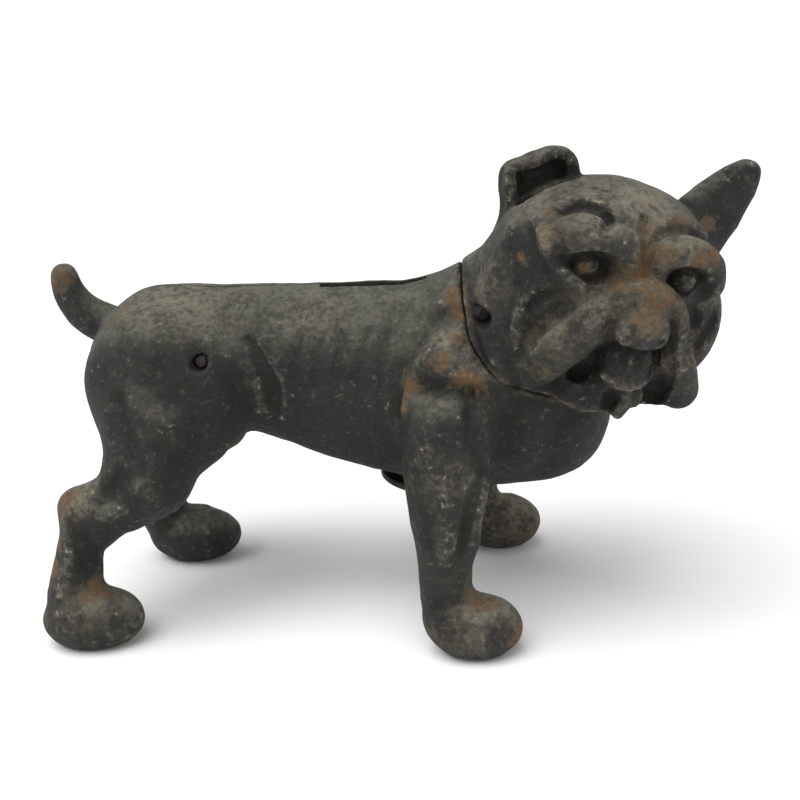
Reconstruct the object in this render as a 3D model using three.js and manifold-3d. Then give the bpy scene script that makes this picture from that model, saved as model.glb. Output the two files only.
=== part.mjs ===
// Cast-iron bulldog coin bank: two body halves, a separate head casting, two machine screws
// and a rubber coin trap under the chest. Millimetres, +X nose, +Y the dog's left, +Z up.
import * as THREE from 'three';
import { mergeVertices } from 'three/addons/utils/BufferGeometryUtils.js';
import Module from 'manifold-3d';

const wasm = await Module();
wasm.setup();

// ---------------------------------------------------------------- driving dimensions
const GAP = 0.3;                // air between neighbouring pieces
const WALL = 4.2;               // thickness of the iron
const SLOT = { x: -1.5, length: 37, width: 4.8 };
const STANCE = 44;              // front paws, each side of the centre plane
const PAD_HEIGHT = 9;           // height of a paw's centre, so its underside is cut flat

// head frame: centre of the skull, turned to the dog's right and tipped towards its left
const HEAD = { at: [78.5, -20, 123], yaw: 69, pitch: 2, roll: 12 };

// coin trap, square to the sloping belly
const TRAP = { x: 12, z: 49, tilt: 11, hole: 12.8, body: 12.3, flange: 15.5, boss: 17 };

// the long screw through the haunches and the short one that holds the head
const HAUNCH_SCREW = { x: -58, z: 100, shank: 2.4, head: 4.4, left: 27.6, right: -28.3 };
const NECK_SCREW = { x: 38.8, z: 114.3, shank: 1.7, head: 3, seat: -24, tip: -12 };

// ---------------------------------------------------------------- solids
// A closed three.js geometry as a manifold solid.
function solid(geometry) {
  const bare = geometry.clone();
  bare.deleteAttribute('normal');
  bare.deleteAttribute('uv');
  const merged = mergeVertices(bare, 1e-4);
  const index = merged.index.array;
  const faces = [];
  for (let i = 0; i < index.length; i += 3) {
    const [a, b, c] = [index[i], index[i + 1], index[i + 2]];
    if (a !== b && b !== c && c !== a) faces.push(a, b, c);
  }
  return new wasm.Manifold(new wasm.Mesh({
    numProp: 3,
    vertProperties: Float32Array.from(merged.attributes.position.array),
    triVerts: Uint32Array.from(faces),
  }));
}

function geometryOf(manifold) {
  const mesh = manifold.getMesh();
  const geometry = new THREE.BufferGeometry();
  geometry.setAttribute('position', new THREE.BufferAttribute(mesh.vertProperties, 3));
  geometry.setIndex(new THREE.BufferAttribute(mesh.triVerts, 1));
  geometry.computeVertexNormals();
  return geometry;
}

const joined = (solids) => solids.reduce((whole, next) => whole.add(next));

// Ellipsoid with an optional turn.
function ball(centre, radii, turn = null, detail = 12) {
  const geometry = new THREE.SphereGeometry(1, detail, Math.round(detail * 0.7));
  geometry.rotateX(Math.PI / 2);
  geometry.scale(...radii);
  if (turn) geometry.applyMatrix4(turn);
  geometry.translate(...centre);
  return solid(geometry);
}

// Round-ended cone from one centre to another: a muscle, a leg, a neck.
function limb(from, fromRadius, to, toRadius, sides = 10, arcs = 3) {
  const start = new THREE.Vector3(...from);
  const along = new THREE.Vector3(...to).sub(start);
  const length = along.length();
  const lean = Math.asin((fromRadius - toRadius) / length);
  const outline = [];
  for (let i = 0; i <= arcs; i++) {
    const angle = -Math.PI / 2 + (Math.PI / 2 + lean) * (i / arcs);
    outline.push(new THREE.Vector2(fromRadius * Math.cos(angle), fromRadius * Math.sin(angle)));
  }
  for (let i = 0; i <= arcs; i++) {
    const angle = lean + (Math.PI / 2 - lean) * (i / arcs);
    outline.push(new THREE.Vector2(toRadius * Math.cos(angle), length + toRadius * Math.sin(angle)));
  }
  outline[0].x = 0;
  outline[outline.length - 1].x = 0;
  const geometry = new THREE.LatheGeometry(outline, sides);
  const up = new THREE.Vector3(0, 1, 0);
  geometry.applyQuaternion(new THREE.Quaternion().setFromUnitVectors(up, along.normalize()));
  geometry.translate(...from);
  return solid(geometry);
}

// Rod or disc along a direction, starting at one end's centre.
function rod(from, direction, radius, length, sides = 24) {
  const geometry = new THREE.CylinderGeometry(radius, radius, length, sides);
  geometry.translate(0, length / 2, 0);
  const up = new THREE.Vector3(0, 1, 0);
  const way = new THREE.Vector3(...direction).normalize();
  geometry.applyQuaternion(new THREE.Quaternion().setFromUnitVectors(up, way));
  geometry.translate(...from);
  return solid(geometry);
}

// Box between two corners.
function block(low, high) {
  const size = low.map((value, i) => high[i] - value);
  const geometry = new THREE.BoxGeometry(...size);
  geometry.translate(...low.map((value, i) => value + size[i] / 2));
  return solid(geometry);
}

// ---------------------------------------------------------------- the dog, in the round
const SIDES = [-1, 1];          // the dog's right, then its left

// Chest, barrel, loin, rump and the straight back. Shrinking it by the wall gives the hollow.
function torso(less = 0, detail = 16) {
  const masses = [
    [[38, 0, 81], [41, 34, 35]],
    [[-2, 0, 86], [48, 29, 32]],
    [[-45, 0, 93], [40, 26, 25]],
    [[-77, 0, 91.5], [31, 27.5, 27.5]],
    [[58, 0, 71], [20, 23, 22]],
  ];
  const parts = masses.map(([at, radii]) => ball(at, radii.map((r) => r - less), null, detail));
  parts.push(limb([-80, 0, 105], 14.5 - less, [25, 0, 104], 15 - less));
  return joined(parts);
}

// Front legs stand square; the right hind leg is set further back than the left one.
function frontLeg(side) {
  const back = side < 0 ? 0 : 2;
  return [
    ball([27, side * 25, 86], [21, 14, 25]),
    limb([25 + back, side * 32, 73], 16, [24.5 + back, side * 39, 48], 12),
    limb([24.5 + back, side * 39, 48], 12, [24.5 + back, side * STANCE, 16], 9.2),
    ball([32 + back, side * STANCE, PAD_HEIGHT], [16.2, 13.5, 11]),
  ];
}

function hindLeg(side) {
  const ahead = side < 0 ? 0 : 12;
  const hockY = side < 0 ? -38 : 30;
  const pawY = side < 0 ? -41 : 30;
  return [
    ball([-75 + ahead * 0.3, side * 18, 86], [29, 17, 30], null, 14),
    limb([-77 + ahead * 0.4, side * 24, 76], 19, [-80 + ahead * 0.7, side * 31, 62], 15),
    limb([-76 + ahead * 0.7, hockY - side * 4, 58], 13.5, [-101 + ahead, hockY, 48], 8.8),
    limb([-104 + ahead, hockY, 49], 8.4, [-108 + ahead, pawY, 18], 9.2),
    ball([-106 + ahead * 1.3, pawY, PAD_HEIGHT], [18.5, 13.5, 11]),
  ];
}

// The tail is cast in the round on the left half.
function tail() {
  return [
    limb([-92, 10.5, 100], 10, [-106, 9, 107], 8),
    limb([-106, 9, 107], 8, [-114, 8.5, 116], 6.2),
    limb([-114, 8.5, 116], 6.2, [-117, 8.5, 125], 4),
  ];
}

function neck() {
  return limb([30, 0, 96], 26, [56, -5, 110], 28.5, 14);
}

// Head frame: forward, left and up of the skull, as a matrix and as a point in the bank.
function headFrame() {
  const [yaw, pitch, roll] = [HEAD.yaw, HEAD.pitch, HEAD.roll].map(THREE.MathUtils.degToRad);
  const forward = new THREE.Vector3(Math.cos(yaw), -Math.sin(yaw), 0);
  const left = new THREE.Vector3(Math.sin(yaw), Math.cos(yaw), 0);
  const up = new THREE.Vector3(0, 0, 1);
  const nod = new THREE.Matrix4().makeRotationAxis(left, pitch);
  forward.applyMatrix4(nod);
  up.applyMatrix4(nod);
  const tip = new THREE.Matrix4().makeRotationAxis(forward, -roll);
  left.applyMatrix4(tip);
  up.applyMatrix4(tip);
  return new THREE.Matrix4().makeBasis(forward, left, up);
}

const HEAD_TURN = headFrame();

function inHead(point) {
  const turned = new THREE.Vector3(...point).applyMatrix4(HEAD_TURN);
  return turned.add(new THREE.Vector3(...HEAD.at)).toArray();
}

const headBall = (at, radii, detail = 12) => ball(inHead(at), radii, HEAD_TURN, detail);
const headLimb = (a, ra, b, rb, sides = 10) => limb(inHead(a), ra, inHead(b), rb, sides, 3);

// Skull and the heavy jowls; shrinking them gives the hollow of the head.
function skull(less = 0, detail = 16) {
  const parts = [headBall([-6, 0, 6], [31, 37, 26].map((r) => r - less), detail)];
  for (const side of SIDES) {
    parts.push(headBall([-2, side * 22, -13], [25, 18, 23].map((r) => r - less), detail - 2));
  }
  return joined(parts);
}

// Short upturned muzzle with hanging lips, brow rolls, eyes, nose and chin.
function face() {
  const parts = [headBall([12, 0, -6], [18, 24, 18], 14), headBall([16, 2, -23], [10, 11, 12], 10)];
  parts.push(headBall([31, 0.5, -6], [4.5, 7, 5.5], 10));
  for (const side of SIDES) {
    parts.push(headBall([15, side * 17, 19], [11, 12.5, 8], 12));
    parts.push(headBall([20, side * 16.5, 9], [5, 5.5, 4.8], 8));
    parts.push(headLimb([24, side * 4, 1], 7, [21, side * 15, -6], 8.5));
    parts.push(headLimb([21, side * 15, -6], 8.5, [15, side * 24, -27], 9));
  }
  return joined(parts);
}

// The right ear is folded over, the left one stands up.
function ears() {
  return joined([
    headLimb([-13, -30, 14], 9, [-16, -31, 27], 8.5),
    headLimb([-15, -33, 27], 6, [-14, -19, 33], 6.5),
    headLimb([-10, 34, 16], 11, [-13, 42, 25], 9),
    headLimb([-13, 42, 25], 9, [-16, 51, 37], 3.6),
  ]);
}

const dogBody = () => joined([torso(), neck(), ...SIDES.flatMap(frontLeg), ...SIDES.flatMap(hindLeg),
  ...tail()]);
const dogHead = () => joined([skull(), face(), ears()]);

// ---------------------------------------------------------------- joints between the castings
// Everything ahead of and above the head joint, which drops down the neck and then runs
// forward under the throat.
function headSide(shift) {
  const seam = new THREE.Shape();
  seam.moveTo(26, 150);
  seam.lineTo(32, 116);
  seam.quadraticCurveTo(35, 97, 54, 88);
  seam.lineTo(110, 66);
  seam.lineTo(160, 66);
  seam.lineTo(160, 220);
  seam.lineTo(26, 220);
  const depth = 200;
  const geometry = new THREE.ExtrudeGeometry(seam, { depth, bevelEnabled: false, curveSegments: 6 });
  geometry.rotateX(Math.PI / 2);
  geometry.translate(shift, depth / 2, shift);
  return solid(geometry);
}

// Neck spigot on the body that the head slips over.
const spigot = (more = 0) => limb([24, -1, 98], 20.5 + more, [56, -5, 109], 17.5 + more, 14);

const trapAxis = () => {
  const tilt = THREE.MathUtils.degToRad(TRAP.tilt);
  return [-Math.sin(tilt), 0, -Math.cos(tilt)];
};
const alongTrap = (distance) => [TRAP.x, 0, TRAP.z].map((v, i) => v + trapAxis()[i] * distance);

// The hollow body with its spigot, holes and coin slot, still in one piece.
function bodyShell() {
  const hollow = torso(WALL, 12).subtract(headSide(-WALL)).add(spigot(-WALL));
  const trapBoss = rod(alongTrap(-8), trapAxis(), TRAP.boss, 8);
  const outside = dogBody().subtract(headSide(0)).add(spigot());
  const walls = outside.subtract(hollow).add(trapBoss);
  const slot = block(
    [SLOT.x - SLOT.length / 2, -SLOT.width / 2, 104],
    [SLOT.x + SLOT.length / 2, SLOT.width / 2, 130],
  );
  const screwAt = (y) => [HAUNCH_SCREW.x, y, HAUNCH_SCREW.z];
  return walls
    .subtract(slot)
    .subtract(rod(alongTrap(-20), trapAxis(), TRAP.hole, 40))
    .subtract(rod(screwAt(-50), [0, 1, 0], HAUNCH_SCREW.shank + GAP, 100, 16))
    .subtract(rod(screwAt(HAUNCH_SCREW.left), [0, 1, 0], HAUNCH_SCREW.head + GAP, 20, 20))
    .subtract(neckScrewHole())
    .intersect(block([-200, -100, 0], [200, 100, 250]));
}

function neckScrewHole() {
  const at = [NECK_SCREW.x, NECK_SCREW.tip + GAP, NECK_SCREW.z];
  return rod(at, [0, -1, 0], NECK_SCREW.shank + GAP, 60, 16);
}

// The halves meet on the centre plane; the head's collar and the haunch screw hold them.
function bodyHalf(shell, side) {
  const edge = GAP / 2;
  const half = side < 0
    ? block([-200, -100, -10], [200, -edge, 250])
    : block([-200, edge, -10], [200, 100, 250]);
  return shell.intersect(half);
}

function headCasting() {
  const bodyOutside = dogBody().subtract(headSide(0));
  const clearance = bodyOutside.translate(GAP, 0, GAP);
  const outside = dogHead().add(dogBody().intersect(headSide(GAP)));
  const seat = [NECK_SCREW.x, NECK_SCREW.seat, NECK_SCREW.z];
  return outside
    .subtract(clearance)
    .subtract(skull(WALL, 12))
    .subtract(spigot(GAP + 0.1))
    .subtract(neckScrewHole())
    .subtract(rod(seat, [0, -1, 0], NECK_SCREW.head + GAP, 20, 20));
}

// ---------------------------------------------------------------- fastenings and trap
// Round-headed slotted screw: origin under the head, shank along -Y of its own frame.
function screw(shank, head, length) {
  const rise = head * 0.5;
  const outline = [new THREE.Vector2(0, -length), new THREE.Vector2(shank * 0.8, -length)];
  outline.push(new THREE.Vector2(shank, -length + 1), new THREE.Vector2(shank, 0));
  for (let i = 0; i <= 4; i++) {
    const angle = (Math.PI / 2) * (i / 4);
    outline.push(new THREE.Vector2(head * Math.cos(angle), rise * Math.sin(angle)));
  }
  outline[outline.length - 1].x = 0;
  const body = solid(new THREE.LatheGeometry(outline, 16));
  return body.subtract(block([-head * 2, rise * 0.45, -0.55], [head * 2, rise * 2, 0.55]));
}

// Rubber stopper: tapered body in the hole and a lip outside with a pull recess.
function stopper() {
  const { body, flange } = TRAP;
  const outline = [[0, -7], [body - 1.4, -7], [body - 0.5, -6], [body, GAP], [flange - 0.6, GAP],
    [flange, 1], [flange, 2.4], [flange - 0.8, 3.2], [8, 3.2], [7, 1.6], [0, 1.6]];
  return solid(new THREE.LatheGeometry(outline.map(([r, y]) => new THREE.Vector2(r, y)), 24));
}

// ---------------------------------------------------------------- the assembly
const IRON = { color: 0x3b3c38, roughness: 0.85, metalness: 0.35 };
const STEEL = { color: 0x5a4a3e, roughness: 0.6, metalness: 0.8 };
const RUBBER = { color: 0x0c0c0d, roughness: 0.7, metalness: 0 };

const bank = new THREE.Group();

function place(name, shape, look) {
  const mesh = new THREE.Mesh(geometryOf(shape), new THREE.MeshStandardMaterial(look));
  mesh.name = name;
  bank.add(mesh);
  return mesh;
}

const shell = bodyShell();
place('right_body_half', bodyHalf(shell, -1), IRON);
place('left_body_half', bodyHalf(shell, 1), IRON);
place('head', headCasting(), IRON);

const { left, right } = HAUNCH_SCREW;
const haunchScrew = place('haunch_screw', screw(HAUNCH_SCREW.shank, HAUNCH_SCREW.head,
  left - right), STEEL);
haunchScrew.position.set(HAUNCH_SCREW.x, left + GAP, HAUNCH_SCREW.z);

const neckScrew = place('neck_screw', screw(NECK_SCREW.shank, NECK_SCREW.head,
  NECK_SCREW.tip - NECK_SCREW.seat - GAP), STEEL);
neckScrew.position.set(NECK_SCREW.x, NECK_SCREW.seat - GAP, NECK_SCREW.z);
neckScrew.rotation.x = Math.PI;

const plug = place('trap_plug', stopper(), RUBBER);
plug.position.set(TRAP.x, 0, TRAP.z);
plug.quaternion.setFromUnitVectors(new THREE.Vector3(0, 1, 0), new THREE.Vector3(...trapAxis()));

// Stand the bank with the middle of its outline over the origin.
const bounds = new THREE.Box3().setFromObject(bank);
bank.position.set(-(bounds.min.x + bounds.max.x) / 2, -(bounds.min.y + bounds.max.y) / 2, 0);

export default bank;
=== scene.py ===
"""Cast-iron bulldog money box: two body halves, a separate head, two screws and a rubber trap plug.

The dog is sculpted as a field of signed distances in the part's design frame (millimetres), cut into
the real castings, and meshed. Lengths are millimetres until mesh_piece turns them into metres.
"""
import math

import bpy
import numpy as np
from mathutils import Matrix, Vector


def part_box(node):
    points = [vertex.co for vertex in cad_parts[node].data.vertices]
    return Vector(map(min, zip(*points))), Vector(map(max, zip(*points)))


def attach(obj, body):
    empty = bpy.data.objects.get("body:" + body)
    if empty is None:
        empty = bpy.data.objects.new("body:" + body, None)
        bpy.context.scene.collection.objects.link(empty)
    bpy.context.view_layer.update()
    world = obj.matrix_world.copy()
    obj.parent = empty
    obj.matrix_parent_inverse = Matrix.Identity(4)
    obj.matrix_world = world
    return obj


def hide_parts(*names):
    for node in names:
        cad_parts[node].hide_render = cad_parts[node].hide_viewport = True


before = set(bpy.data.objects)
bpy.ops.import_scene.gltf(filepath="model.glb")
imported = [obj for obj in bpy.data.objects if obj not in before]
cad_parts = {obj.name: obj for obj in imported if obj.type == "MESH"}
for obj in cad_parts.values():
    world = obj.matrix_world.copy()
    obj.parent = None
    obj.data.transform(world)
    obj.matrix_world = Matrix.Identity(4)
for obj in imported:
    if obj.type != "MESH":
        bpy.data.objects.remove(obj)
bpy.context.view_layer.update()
MM = 0.001

HEAD_AT = np.array([78.5, -20.0, 123.0])
HEAD_YAW, HEAD_PITCH, HEAD_ROLL = np.radians([69.0, 2.0, 12.0])
WALL = 4.2
GAP = 0.3
SIDES = (-1, 1)
ACROSS = 62

FAR_AWAY = 40.0
NEAR_SKIN = 4
SLOPE_LIMITS = (0.4, 2.5)
STROKE_REACH = 1.6
# painted shade in creases: how deep a crease must be to get it, the depth that gets it in full, its reach
# and fade
SHADED_DEPTH = 0.8
FULL_SHADE_DEPTH = 2.6
SHADE_REACH = 6
SHADE_FADE = 1.2
GRID_SHAPES = ((-1, 1, 1), (1, -1, 1), (1, 1, -1))


def head_axes():
    """Forward, left and up of the head as columns."""
    cy, sy = np.cos(HEAD_YAW), np.sin(HEAD_YAW)
    cp, sp = np.cos(HEAD_PITCH), np.sin(HEAD_PITCH)
    cr, sr = np.cos(HEAD_ROLL), np.sin(HEAD_ROLL)
    level = np.array([cy, -sy, 0.0])
    left = np.array([sy, cy, 0.0])
    forward = level * cp - np.array([0, 0, sp])
    up = np.array([0, 0, cp]) + level * sp
    return np.stack([forward, left * cr - up * sr, up * cr + left * sr], 1)


HEAD_TURN = head_axes()
UPRIGHT = np.eye(3)


def in_head(point):
    return HEAD_AT + HEAD_TURN @ np.array(point, float)


# ------------------------------------------------------------------ clay
class Clay:
    """A block of signed distances that shapes are pressed onto or carved out of."""

    def __init__(self, low, high, step):
        self.low = np.array(low, float)
        self.step = step
        counts = np.ceil((np.array(high) - self.low) / step).astype(int) + 1
        self.axes = [self.low[i] + step * np.arange(counts[i]) for i in range(3)]
        self.value = np.full(counts, FAR_AWAY, np.float32)
        self.creases = []

    def blank(self):
        """A fresh block on the same grid."""
        other = Clay(self.low, self.low + self.step, self.step)
        other.axes = self.axes
        other.creases = self.creases
        other.value = np.full(self.value.shape, FAR_AWAY, np.float32)
        return other

    def window(self, low, high, pad):
        spans = []
        for i in range(3):
            first = int(np.floor((low[i] - pad - self.low[i]) / self.step))
            last = int(np.ceil((high[i] + pad - self.low[i]) / self.step)) + 1
            first, last = max(first, 0), min(last, len(self.axes[i]))
            if last <= first:
                return None
            spans.append(slice(first, last))
        points = [self.axes[i][spans[i]].astype(np.float32).reshape(GRID_SHAPES[i]) for i in range(3)]
        return tuple(spans), points

    def add(self, shape, blend):
        found = self.window(*shape.box(), blend + 4 * self.step)
        if found:
            span, points = found
            self.value[span] = soft_min(self.value[span], shape.distance(points), blend)

    def carve(self, shape, blend):
        found = self.window(*shape.box(), blend + 4 * self.step)
        if found:
            span, points = found
            self.value[span] = -soft_min(-self.value[span], shape.distance(points), blend)

    def stroke(self, path, widths, height):
        """Raises a soft ridge along a path, or sinks a crease where height is negative."""
        line = Roll(path, widths)
        # a deep crease is kept so that painted shade can be laid into its bottom
        if height < -SHADED_DEPTH:
            self.creases.append((line, min(1.0, -height / FULL_SHADE_DEPTH)))
        found = self.window(*line.box(), STROKE_REACH * float(np.max(line.radii)))
        if found:
            span, points = found
            self.value[span] -= np.float32(height) * np.exp(-line.nearness(points) ** 2)

    def even_out(self):
        """Brings the field's slope close to 1, so that the height of a stroke is in mm."""
        slopes = np.gradient(self.value, self.step)
        steepness = np.sqrt(sum(slope * slope for slope in slopes) + 0.02)
        near = np.abs(self.value) < NEAR_SKIN
        self.value[near] /= np.clip(steepness[near], *SLOPE_LIMITS)

    def everywhere(self):
        return [self.axes[i].astype(np.float32).reshape(GRID_SHAPES[i]) for i in range(3)]

    def roughen(self, sizes, heights, seed):
        """Lumps of several sizes, as a sand mould leaves them."""
        rng = np.random.default_rng(seed)
        for size, height in zip(sizes, heights):
            counts = [int((a[-1] - a[0]) / size) + 3 for a in self.axes]
            lumps = rng.uniform(-1, 1, counts).astype(np.float32)
            for i, axis in enumerate(self.axes):
                place = (axis - axis[0]) / size
                cell = place.astype(int)
                part = place - cell
                part = (part * part * (3 - 2 * part)).astype(np.float32)
                part = part.reshape([-1 if j == i else 1 for j in range(3)])
                lumps = np.take(lumps, cell, i) * (1 - part) + np.take(lumps, cell + 1, i) * part
            self.value += height * lumps


def read_field(value, clay, points):
    """Field value at points, between the grid's own values."""
    place = (points - clay.low) / clay.step
    place = np.clip(place, 0, np.array(value.shape) - 1.001)
    cell = place.astype(int)
    part = place - cell
    total = 0
    for i in (0, 1):
        for j in (0, 1):
            for k in (0, 1):
                share = np.prod(np.where((i, j, k), part, 1 - part), 1)
                total = total + share * value[cell[:, 0] + i, cell[:, 1] + j, cell[:, 2] + k]
    return total


def painted_shade(clay, vertices):
    """Painted shade: 1 at the bottom of a deep crease, 0 away from all creases."""
    total = np.zeros(len(vertices))
    for line, depth in clay.creases:
        low, high = line.box()
        spot = ((vertices > low - SHADE_REACH) & (vertices < high + SHADE_REACH)).all(1)
        near = line.nearness([vertices[spot, i] for i in range(3)])
        total[spot] = np.maximum(total[spot], depth * np.exp(-(near * SHADE_FADE) ** 2))
    return total


def soft_min(a, b, blend):
    if blend < 0.01:
        return np.minimum(a, b)
    mix = np.clip(0.5 + 0.5 * (a - b) / blend, 0, 1)
    return a + (b - a) * mix - blend * mix * (1 - mix)


class Ball:
    """Ellipsoid, its radii along the columns of turn."""

    def __init__(self, centre, radii, turn=UPRIGHT):
        self.centre, self.radii, self.turn = np.array(centre, float), np.array(radii, float), turn

    def box(self):
        reach = np.sqrt(((self.turn * self.radii) ** 2).sum(1))
        return self.centre - reach, self.centre + reach

    def distance(self, points):
        away = [points[i] - np.float32(self.centre[i]) for i in range(3)]
        local = [sum(np.float32(self.turn[j, i]) * away[j] for j in range(3)) for i in range(3)]
        near = np.sqrt(sum((local[i] / np.float32(self.radii[i])) ** 2 for i in range(3)))
        slope = np.sqrt(sum((local[i] / np.float32(self.radii[i] ** 2)) ** 2 for i in range(3)))
        return near * (near - 1) / (slope + 1e-6)


class Roll:
    """Round bar along a smooth path whose radius changes from point to point."""

    def __init__(self, path, radii, steps=5):
        path = np.array(path, float)
        last = len(path) - 1
        places = np.linspace(0, last, last * steps + 1)
        radii = np.broadcast_to(np.array(radii, float), (last + 1,))
        self.radii = np.interp(places, np.arange(last + 1), radii)
        self.path = np.array([self.spline(path, place) for place in places])

    @staticmethod
    def spline(path, place):
        last = len(path) - 1
        k = min(int(place), last - 1)
        u = place - k
        a, b, c, d = (path[min(max(k + j, 0), last)] for j in (-1, 0, 1, 2))
        return 0.5 * (2 * b + (c - a) * u + (2 * a - 5 * b + 4 * c - d) * u ** 2
                      + (3 * b - a - 3 * c + d) * u ** 3)

    def box(self):
        reach = self.radii[:, None]
        return (self.path - reach).min(0), (self.path + reach).max(0)

    def gaps(self, points):
        """For each piece of the path, distance to it and the bar's radius there."""
        for a, b, ra, rb in zip(self.path[:-1], self.path[1:], self.radii[:-1], self.radii[1:]):
            along = b - a
            away = [points[i] - np.float32(a[i]) for i in range(3)]
            t = sum(away[i] * np.float32(along[i]) for i in range(3)) / np.float32(along @ along)
            t = np.clip(t, 0, 1)
            gap = np.sqrt(sum((away[i] - t * np.float32(along[i])) ** 2 for i in range(3)))
            yield gap, np.float32(ra) + np.float32(rb - ra) * t

    def nearness(self, points):
        """Distance to the path, counted in the path's own radii."""
        whole = None
        for gap, radius in self.gaps(points):
            whole = gap / radius if whole is None else np.minimum(whole, gap / radius)
        return whole

    def distance(self, points):
        whole = None
        for gap, radius in self.gaps(points):
            whole = gap - radius if whole is None else np.minimum(whole, gap - radius)
        return whole


def head_ball(centre, radii):
    return Ball(in_head(centre), radii, HEAD_TURN)


def head_roll(path, radii):
    return Roll([in_head(p) for p in path], radii)


# ------------------------------------------------------------------ the dog
TORSO = [((38, 0, 81), (41, 34, 35), 1), ((-2, 0, 86), (48, 29, 32), 12),
         ((-45, 0, 93), (40, 26, 25), 12), ((-77, 0, 91.5), (31, 27.5, 27.5), 10),
         ((58, 0, 71), (20, 23, 22), 8)]


def shape_torso(clay, less=0.0):
    for centre, radii, blend in TORSO:
        clay.add(Ball(centre, np.array(radii) - less), blend)
    clay.add(Roll([(-80, 0, 104.5), (25, 0, 103.5)], (14.5 - less, 14.5 - less), 1), 6)
    for side in SIDES:
        belly = [(-36, side * 13, 78), (-24, side * 14.5, 72), (0, side * 16, 64.2), (24, side * 17, 59.4)]
        clay.add(Roll(belly, np.array((5, 6.4, 7.2, 7.6)) - less), 6)


def shape_front_leg(clay, side):
    back = 0 if side < 0 else 1.5
    clay.add(Ball((26.5, side * 25, 86), (20, 13.5, 24)), 5)
    leg = [(25.5, 31, 75), (25.2, 35.5, 61), (24.8, 38.5, 50), (24.8, 40.5, 42), (24, 42, 33),
           (23.8, 42.5, 25), (24.6, 43, 15)]
    clay.add(Roll([(x + back, side * y, z) for x, y, z in leg], (16, 14.2, 12.6, 11.2, 9.2, 8.7, 9.2)), 5)
    clay.add(Ball((33 + back, side * 43.4, 9.4), (16.2, 12.6, 11.2)), 4)


def shape_hind_leg(clay, side):
    near = side < 0
    ahead = 0 if near else 9
    hock_y = -38 if near else 30
    paw_y = -41 if near else 30
    clay.add(Ball((-75 + ahead * 0.3, side * 18, 86), (29, 17, 30)), 8)
    clay.add(Roll([(-77 + ahead * 0.3, side * 24, 76), (-80.5 + ahead * 0.5, side * 31, 63)],
                  (19, 15.5 if near else 14)), 8)
    slim = 1 if near else 0.87
    hock = [(-79 + ahead * 0.6, hock_y - side * 4, 59.5), (-89.5 + ahead * 0.8, hock_y - side * 2, 52.5),
            (-101 + ahead, hock_y, 50)]
    clay.add(Roll(hock, (14 * slim, 11.4 * slim, 9)), 5)
    shank = [(-105.6 + ahead, hock_y, 50.5), (-105 + ahead, hock_y, 41), (-108 + ahead, hock_y, 31),
             (-110 + ahead, paw_y, 19)]
    clay.add(Roll(shank, (7, 8.1, 8.2, 9.8)), 3)
    clay.add(Ball((-98 + ahead, hock_y, 42.5), (6.4, 6.4, 6)), 5)
    clay.add(Ball((-104.5 + ahead * 1.75, paw_y, 9.2), (18.6, 13.2, 11.2)), 4)


def shape_tail(clay):
    tail = [(-91, 10, 99), (-104.4, 9.5, 104), (-112.6, 8.7, 109.2), (-117.2, 8.5, 116),
            (-118.8, 8.4, 123.2)]
    clay.add(Roll(tail, (9.2, 7.8, 6.9, 5.9, 4.8)), 4)


def shape_neck(clay):
    clay.add(Roll([(30, 0, 96), (56, -5, 110)], (26, 28.5), 1), 8)


def shape_body(clay):
    shape_torso(clay)
    for side in SIDES:
        shape_hind_leg(clay, side)
    for side in SIDES:
        shape_front_leg(clay, side)
    shape_tail(clay)
    shape_neck(clay)


def slide(clay, start, way):
    """Where a point, moved straight along a way, meets the clay."""
    line = np.array(start, float) + np.arange(0, 70, 0.5)[:, None] * np.array(way, float)
    inside = read_field(clay.value, clay, line) < 0
    return line[np.argmax(inside)]


def flank_strokes(clay, side, strokes):
    """Strokes on one side of the body: each a path of (x, z), its widths and its height."""
    for path, widths, height in strokes:
        skin = [slide(clay, (x, side * ACROSS, z), (0, -side, 0)) for x, z in path]
        clay.stroke(skin, widths, height)


def carve_shoulder(clay, side):
    flank_strokes(clay, side, [
        ([(33, 114), (22, 110.4), (15.2, 103.3), (11.6, 96.6), (9.8, 89.7), (8.6, 82)],
         (3, 3.9, 4.1, 3.9, 3.4, 2.5), -3.58),
        ([(28, 107.5), (19, 101), (14.5, 94), (13, 86)], (3.4, 4.1, 3.9, 3), 1.68),
        ([(26, 105), (29.5, 99.8), (33.5, 96.2), (38, 94.2)], (2.3, 3, 3, 2.3), 1.9),
        ([(17, 92.5), (24, 91.8), (31, 91.4), (37, 90)], (2.8, 3.7, 3.7, 3), -2.32),
        ([(24, 84), (22, 74), (23, 66)], (8, 9.2, 6.9), 1.9),
        ([(35, 90), (36, 80), (37, 71.3), (38.8, 64)], (3, 3.7, 3.7, 2.8), -3.37),
        ([(12, 79), (11, 72), (12.5, 66)], (2.8, 3.4, 2.8), -1.9),
        ([(63.6, 76), (62, 71)], (4.6, 4.6), -1.68),
        ([(60, 62), (57, 58)], (5.1, 4.6), -1.47),
        ([(50, 84), (46, 77), (44, 70)], (4.6, 5.1, 4.1), -1.47),
    ])


def carve_front_leg(clay, side):
    flank_strokes(clay, side, [
        ([(18, 66), (18.8, 58.7), (19.2, 49), (19.6, 42)], (2.9, 3.8, 3.6, 2.2), -2.1),
        ([(35.6, 60.5), (34.2, 55), (32.6, 47), (31, 41)], (1.9, 2.6, 2.6, 1.7), -2.7),
        ([(38.4, 60), (36.8, 53), (35, 46)], (2.2, 2.4, 1.9), 1.4),
        ([(27, 60), (26.4, 50), (25, 38)], (3.6, 4.1, 2.9), 1.1),
        ([(22, 21), (29, 21.5), (35, 20.5)], (2.6, 3.1, 2.4), -1.2),
    ])
    flank_strokes(clay, side, [([(x + 0.6, 14), (x + 1.4, 8), (x + 1.2, 3)], (1.7, 2.2, 1.9), -0.8)
                               for x in (33, 38.5, 43.5)])


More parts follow.
